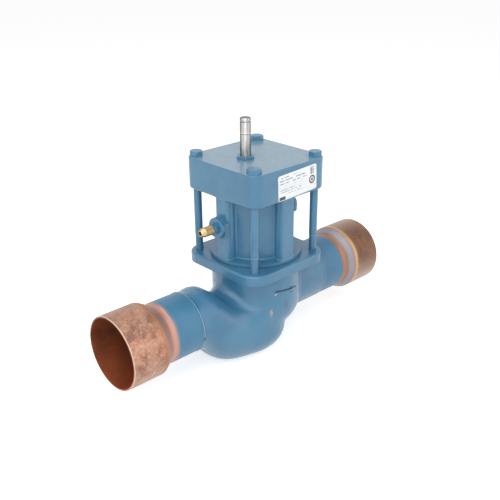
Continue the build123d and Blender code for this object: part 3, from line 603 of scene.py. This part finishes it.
# Rows of grey bars: from and to along the label, from and to up it, strength
LABEL_BARS = (
    (3, 17, 25.4, 26.5, 0.65),
    (24, 32, 25.4, 26.5, 0.55),
    (2.5, 44, 22.1, 23.3, 0.75),
    (2, 18, 18.9, 20.0, 0.6),
    (22, 34, 18.9, 20.0, 0.6),
    (38, 45, 18.9, 20.0, 0.5),
    (24, 27, 16.0, 16.9, 0.5),
    (2.5, 26, 11.7, 12.7, 0.55),
    (2.5, 40, 9.1, 10.1, 0.5),
    (14, 38, 6.3, 7.2, 0.35),
)
LABEL_FIELD = (1.3, 10.8, 0.9, 4.8)
LABEL_COLUMNS = ((51.0, 53.0, 0.95), (54.2, 56.0, 0.8))
COLUMN_HEIGHT = (18.8, 27.2)
RING_CENTRE = (53.4, 12.4)
RING = (3.0, 4.9)
DOT_R = 1.9
EDGE_SOFT = 0.12


def label_material():
    """White film with grey bars in rows, a dark field, short dark bars and a ring."""
    net = Net("label_film")
    x, _, z = net.axes()
    px = net.minus(net.times(x, 1 / MM), VALVE_X + LABEL_X)
    pz = net.minus(net.times(z, 1 / MM), LABEL_Z)
    cos_t = math.cos(LABEL_TILT)
    sin_t = math.sin(LABEL_TILT)
    u = net.plus(net.times(px, cos_t), net.times(pz, sin_t))
    v = net.minus(net.times(pz, cos_t), net.times(px, sin_t))

    def between(value, low, high):
        half = (high - low) / 2
        off = net.apart(value, (low + high) / 2)
        return net.span(off, half + EDGE_SOFT, half - EDGE_SOFT)

    def field(u0, u1, v0, v1):
        return net.times(between(u, u0, u1), between(v, v0, v1))

    # Gaps that break a row into bars of unequal length
    cell = net.tree.nodes.new("ShaderNodeCombineXYZ")
    net.put(cell, 0, net.math("FLOOR", net.times(u, 0.62)))
    net.put(cell, 1, net.math("FLOOR", net.times(v, 0.36)))
    chance = net.tree.nodes.new("ShaderNodeTexWhiteNoise")
    net.put(chance, "Vector", cell.outputs[0])
    bars = net.math("GREATER_THAN", chance.outputs["Value"], 0.24)
    shades = net.span(net.noise(70, 3, 0.5), 0.35, 0.7)
    film = net.mix(shades, srgb(240, 242, 244), srgb(228, 231, 235))
    for u0, u1, v0, v1, amount in LABEL_BARS:
        film = net.lay(film, net.times(field(u0, u1, v0, v1), bars), amount, INK)
    film = net.lay(film, field(*LABEL_FIELD), 0.95, INK_DARK)
    broken = net.math("GREATER_THAN", net.noise(700, 1, 0.5), 0.38)
    for u0, u1, amount in LABEL_COLUMNS:
        column = net.times(field(u0, u1, *COLUMN_HEIGHT), broken)
        film = net.lay(film, column, amount, INK_COLUMN)
    far = net.long(net.minus(u, RING_CENTRE[0]), net.minus(v, RING_CENTRE[1]))
    film = net.lay(film, between(far, *RING), 0.95, INK_DARK)
    film = net.lay(film, between(far, -DOT_R, DOT_R), 0.85, INK_DOT)
    net.color(film)
    net.rough(net.span(net.noise(220, 2, 0.5), 0.3, 0.7, 0.30, 0.40))
    net.bump(net.noise(160, 2, 0.5), 0.04, 0.0003)
    return net.mat


# Flow arrow: raised on the neck's -Y side, pointing to the outlet
NECK_R = 53.2
ARROW_RAISE = 1.5
ARROW_SUNK = 0.3
ARROW_EDGE = 0.6
ARROW_REACH = 18
ARROW_HEAD_X = 6
ARROW_Z = 19.2
ARROW_SLOPE = 0.1
SHAFT_HALF = 1.9
TIP_HALF = 0.35
HEAD_SPREAD = 4.0


def fill_arrow(bm):
    rows = []
    for x in range(-ARROW_REACH, ARROW_REACH + 1):
        if x <= ARROW_HEAD_X:
            half = SHAFT_HALF
        else:
            to_tip = (ARROW_REACH - x) / (ARROW_REACH - ARROW_HEAD_X)
            half = TIP_HALF + HEAD_SPREAD * to_tip
        middle = ARROW_Z - ARROW_SLOPE * x
        top = ARROW_RAISE if abs(x) < ARROW_REACH else 0.0
        for h in (SHAFT_HALF, half) if x == ARROW_HEAD_X else (half,):
            inner = max(h - ARROW_EDGE, 0.1)
            section = (
                (-h, -ARROW_SUNK),
                (-h, 0.0),
                (-inner, top),
                (0.0, top),
                (inner, top),
                (h, 0.0),
                (h, -ARROW_SUNK),
            )
            row = []
            for dz, lift in section:
                reach = NECK_R + lift
                row.append(vx(x, -math.sqrt(reach * reach - x * x), middle + dz))
            rows.append(row)
    rings = skin(bm, rows)
    for ring in (rings[0], rings[-1]):
        bm.faces.new(ring)
    for a, b in zip(rings, rings[1:]):
        bm.faces.new((a[0], a[-1], b[-1], b[0]))


# Access fitting: flare thread with real grooves, coned nose and a painted hexagon
PORT_Z = 100.0
FIT_HEX = (-62.5, -68.0)
FIT_THREAD_END = -80.0
FIT_NOSE_END = -84.5
FIT_TAIL_END = -51.2
FIT_BORE_R = 2.7
FIT_TAIL_R = 5.0
FIT_THREAD_R = 5.55
FIT_NOSE_R = 3.6
FIT_HEX_FLATS = 12.7
FIT_HEX_BORE_R = 4.9
HEX_CORNER = 1.13
HEX_CHAMFER = 0.5
PITCH = 1.27
GROOVE = 0.62
THREAD_STEPS = 150
AROUND = 72


def round_port(x, radius):
    """A ring of points round the port's axis; radius is given for each turn, 0 to 1."""
    row = []
    for i in range(AROUND):
        a = 2 * math.pi * i / AROUND
        r = radius(i / AROUND)
        row.append(vx(x, r * math.cos(a), PORT_Z + r * math.sin(a)))
    return row


def thread_ring(x, r, groove):
    def radius(turn):
        phase = (x / PITCH + turn) % 1.0
        return r - groove * min(1.0, max(0.0, 1.25 - 3.2 * abs(phase - 0.5)))

    return round_port(x, radius)


def hex_ring(x, ease):
    def radius(turn):
        sixth = math.pi / 3
        off = (2 * math.pi * turn + sixth / 2) % sixth - sixth / 2
        flat = FIT_HEX_FLATS / 2
        return min(flat / math.cos(off), flat * HEX_CORNER - ease)

    return round_port(x, radius)


def fill_fitting(bm):
    path = [
        (FIT_TAIL_END, FIT_BORE_R, 0),
        (FIT_TAIL_END, FIT_TAIL_R, 0),
        (FIT_HEX[1] - 0.6, FIT_TAIL_R, 0),
    ]
    start = FIT_HEX[1] - 0.7
    run = FIT_THREAD_END + 0.2 - start
    for k in range(THREAD_STEPS + 1):
        fade = min(1.0, k / 10, (THREAD_STEPS - k) / 12)
        path.append((start + run * k / THREAD_STEPS, FIT_THREAD_R, GROOVE * fade))
    path += [
        (FIT_THREAD_END - 0.3, FIT_THREAD_R - 0.4, 0),
        (FIT_NOSE_END + 1.2, FIT_NOSE_R + 0.55, 0),
        (FIT_NOSE_END + 0.3, FIT_NOSE_R + 0.1, 0),
        (FIT_NOSE_END, FIT_NOSE_R - 0.3, 0),
        (FIT_NOSE_END, FIT_BORE_R, 0),
        (FIT_TAIL_END, FIT_BORE_R, 0),
    ]
    skin(bm, [thread_ring(*stop) for stop in path], close=True)
    # Hexagon with chamfered corners, as a closed band round the fitting
    near, far = FIT_HEX
    sides = (
        (near, HEX_CHAMFER),
        (near - HEX_CHAMFER, 0.0),
        (far + HEX_CHAMFER, 0.0),
        (far, HEX_CHAMFER),
    )
    near_bore, far_bore = (round_port(x, lambda turn: FIT_HEX_BORE_R) for x in FIT_HEX)
    band = [near_bore] + [hex_ring(*side) for side in sides] + [far_bore, near_bore]
    skin(bm, band, close=True, material=1)


# Materials on the CAD nodes
body_mat = body_paint()
small_paint = paint("fitting_enamel").mat
steel = bright_metal("turned_steel", srgb(176, 176, 178), 0.34)
brass = bright_metal("machined_brass", srgb(202, 178, 134), 0.24, (2600, 40, 40))
iron = plain("machined_iron", srgb(118, 118, 120), 0.45, metallic=0.9)
seal = plain("seal_rubber", srgb(44, 44, 46), 0.6)
gasket = plain("gasket_fibre", srgb(52, 78, 100), 0.8, 900.0)
dress(body_mat, "valve_body")
dress(cap_paint(), "cylinder_cover")
dress(bolt_paint(), "tie_bolts")
dress(copper("copper_inlet", 0.0, 1.0, NEAR_CUP), "inlet_reducer")
dress(copper("copper_outlet", OUTLET_MOUTH_X, -1.0, FAR_CUP), "outlet_reducer")
dress(small_paint, "tube_nut", "port_bushing", "port_plug")
dress(tube_metal(), "solenoid_tube", "fixed_core", "stem", "plunger")
dress(brass, "guide_bushing", "pilot_seat", "valve_core", "access_fitting")
dress(iron, "stem_guide", "power_piston")
dress(steel, "seat_ring", "main_disc", "disc_retainer", "disc_nut", "core_pin")
dress(steel, "piston_ring", "piston_nut", "opening_spring", "plunger_spring")
dress(seal, "stem_seal", "disc_seal", "tube_oring", "plunger_seal")
dress(gasket, "cover_gasket")

# Pieces
new_piece("rating_label", fill_label, [label_material()], "valve")
new_piece("flow_arrow", fill_arrow, [body_mat], "valve")
fitting = new_piece("flare_fitting", fill_fitting, [brass, small_paint], "valve")
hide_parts("access_fitting")


def shortening_spring(node):
    """A copy of the CAD spring as a piece of its own on the valve, in place of the hidden node;
    a CAD node keeps its mesh.
    """
    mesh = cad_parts[node].data.copy()
    bm = bmesh.new()
    bm.from_mesh(mesh)
    bmesh.ops.remove_doubles(bm, verts=bm.verts, dist=1e-6)
    bm.to_mesh(mesh)
    bm.free()
    piece = bpy.data.objects.new(node + "_coil", mesh)
    bpy.context.collection.objects.link(piece)
    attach(piece, "valve")
    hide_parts(node)
    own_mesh(piece)


shortening_spring("opening_spring")
shortening_spring("plunger_spring")


def seen_level(tree, low, high):
    """High for camera, glossy and transmission rays, low for the rays that light the object."""
    paths = tree.nodes.new("ShaderNodeLightPath")
    seen = paths.outputs["Is Camera Ray"]
    for name in ("Is Glossy Ray", "Is Transmission Ray"):
        either = tree.nodes.new("ShaderNodeMath")
        either.operation = "MAXIMUM"
        tree.links.new(seen, either.inputs[0])
        tree.links.new(paths.outputs[name], either.inputs[1])
        seen = either.outputs[0]
    level = tree.nodes.new("ShaderNodeMapRange")
    tree.links.new(seen, level.inputs["Value"])
    level.inputs["To Min"].default_value = low
    level.inputs["To Max"].default_value = high
    return level.outputs[0]


# Pale floor that keeps the object's shadow, white surroundings and soft light; metres
FLOOR_HALF = 30
floor_mat = bpy.data.materials.new("pale_floor")
floor_mat.use_nodes = True
floor_tree = floor_mat.node_tree
floor_shader = floor_tree.nodes["Principled BSDF"]
floor_shader.inputs["Base Color"].default_value = (0.82, 0.82, 0.82, 1)
floor_shader.inputs["Roughness"].default_value = 0.9
floor_shader.inputs["Specular IOR Level"].default_value = 0.0
floor_shader.inputs["Emission Color"].default_value = (1, 1, 1, 1)
floor_glow = seen_level(floor_tree, 0.0, 0.62)
floor_tree.links.new(floor_glow, floor_shader.inputs["Emission Strength"])
floor_mesh = bpy.data.meshes.new("floor")
around = ((-1, -1), (1, -1), (1, 1), (-1, 1))
corners = [(x * FLOOR_HALF, y * FLOOR_HALF, FLOOR_Z * MM) for x, y in around]
floor_mesh.from_pydata(corners, [], [(0, 1, 2, 3)])
floor = bpy.data.objects.new("floor", floor_mesh)
bpy.context.collection.objects.link(floor)
floor_mesh.materials.append(floor_mat)

world = bpy.data.worlds.new("studio")
bpy.context.scene.world = world
world.use_nodes = True
background = world.node_tree.nodes["Background"]
background.inputs["Color"].default_value = (1, 1, 1, 1)
surround = seen_level(world.node_tree, 0.42, 1.0)
world.node_tree.links.new(surround, background.inputs["Strength"])


def soft_light(name, place, size, power):
    """An area light in metres and watts, aimed at the valve."""
    data = bpy.data.lights.new(name, "AREA")
    data.shape = "RECTANGLE"
    data.size, data.size_y = size
    data.energy = power
    obj = bpy.data.objects.new(name, data)
    bpy.context.collection.objects.link(obj)
    obj.location = place
    aim = vx(0, 0, 40) - Vector(place)
    obj.rotation_euler = aim.to_track_quat("-Z", "Y").to_euler()


soft_light("key", (-0.75, -0.85, 0.65), (1.3, 1.5), 10)
soft_light("right", (0.95, -0.95, 0.5), (1.2, 1.4), 5)
soft_light("left", (-1.1, 0.45, 0.5), (0.8, 1.0), 2)
soft_light("top", (-0.2, -0.1, 1.25), (1.4, 1.4), 7)

# Camera at the photo's angle: its place in metres and the directions of its own axes
CAMERA_PLACE = (-0.33524, -0.57074, 0.40526)
CAMERA_RIGHT = Vector((0.72756, -0.68601, -0.00682))
CAMERA_UP = Vector((0.28337, 0.29145, 0.91365))
CAMERA_AHEAD = Vector((0.62479, 0.66667, -0.40644))
camera_data = bpy.data.cameras.new("camera")
camera_data.sensor_width = 36
camera_data.lens = 51.891
camera_data.clip_start = 0.05
camera = bpy.data.objects.new("camera", camera_data)
bpy.context.collection.objects.link(camera)
turn = Matrix((CAMERA_RIGHT, CAMERA_UP, -CAMERA_AHEAD)).transposed()
camera.matrix_world = Matrix.Translation(CAMERA_PLACE) @ turn.to_4x4()
bpy.context.scene.camera = camera
bpy.context.scene.view_settings.view_transform = "Standard"
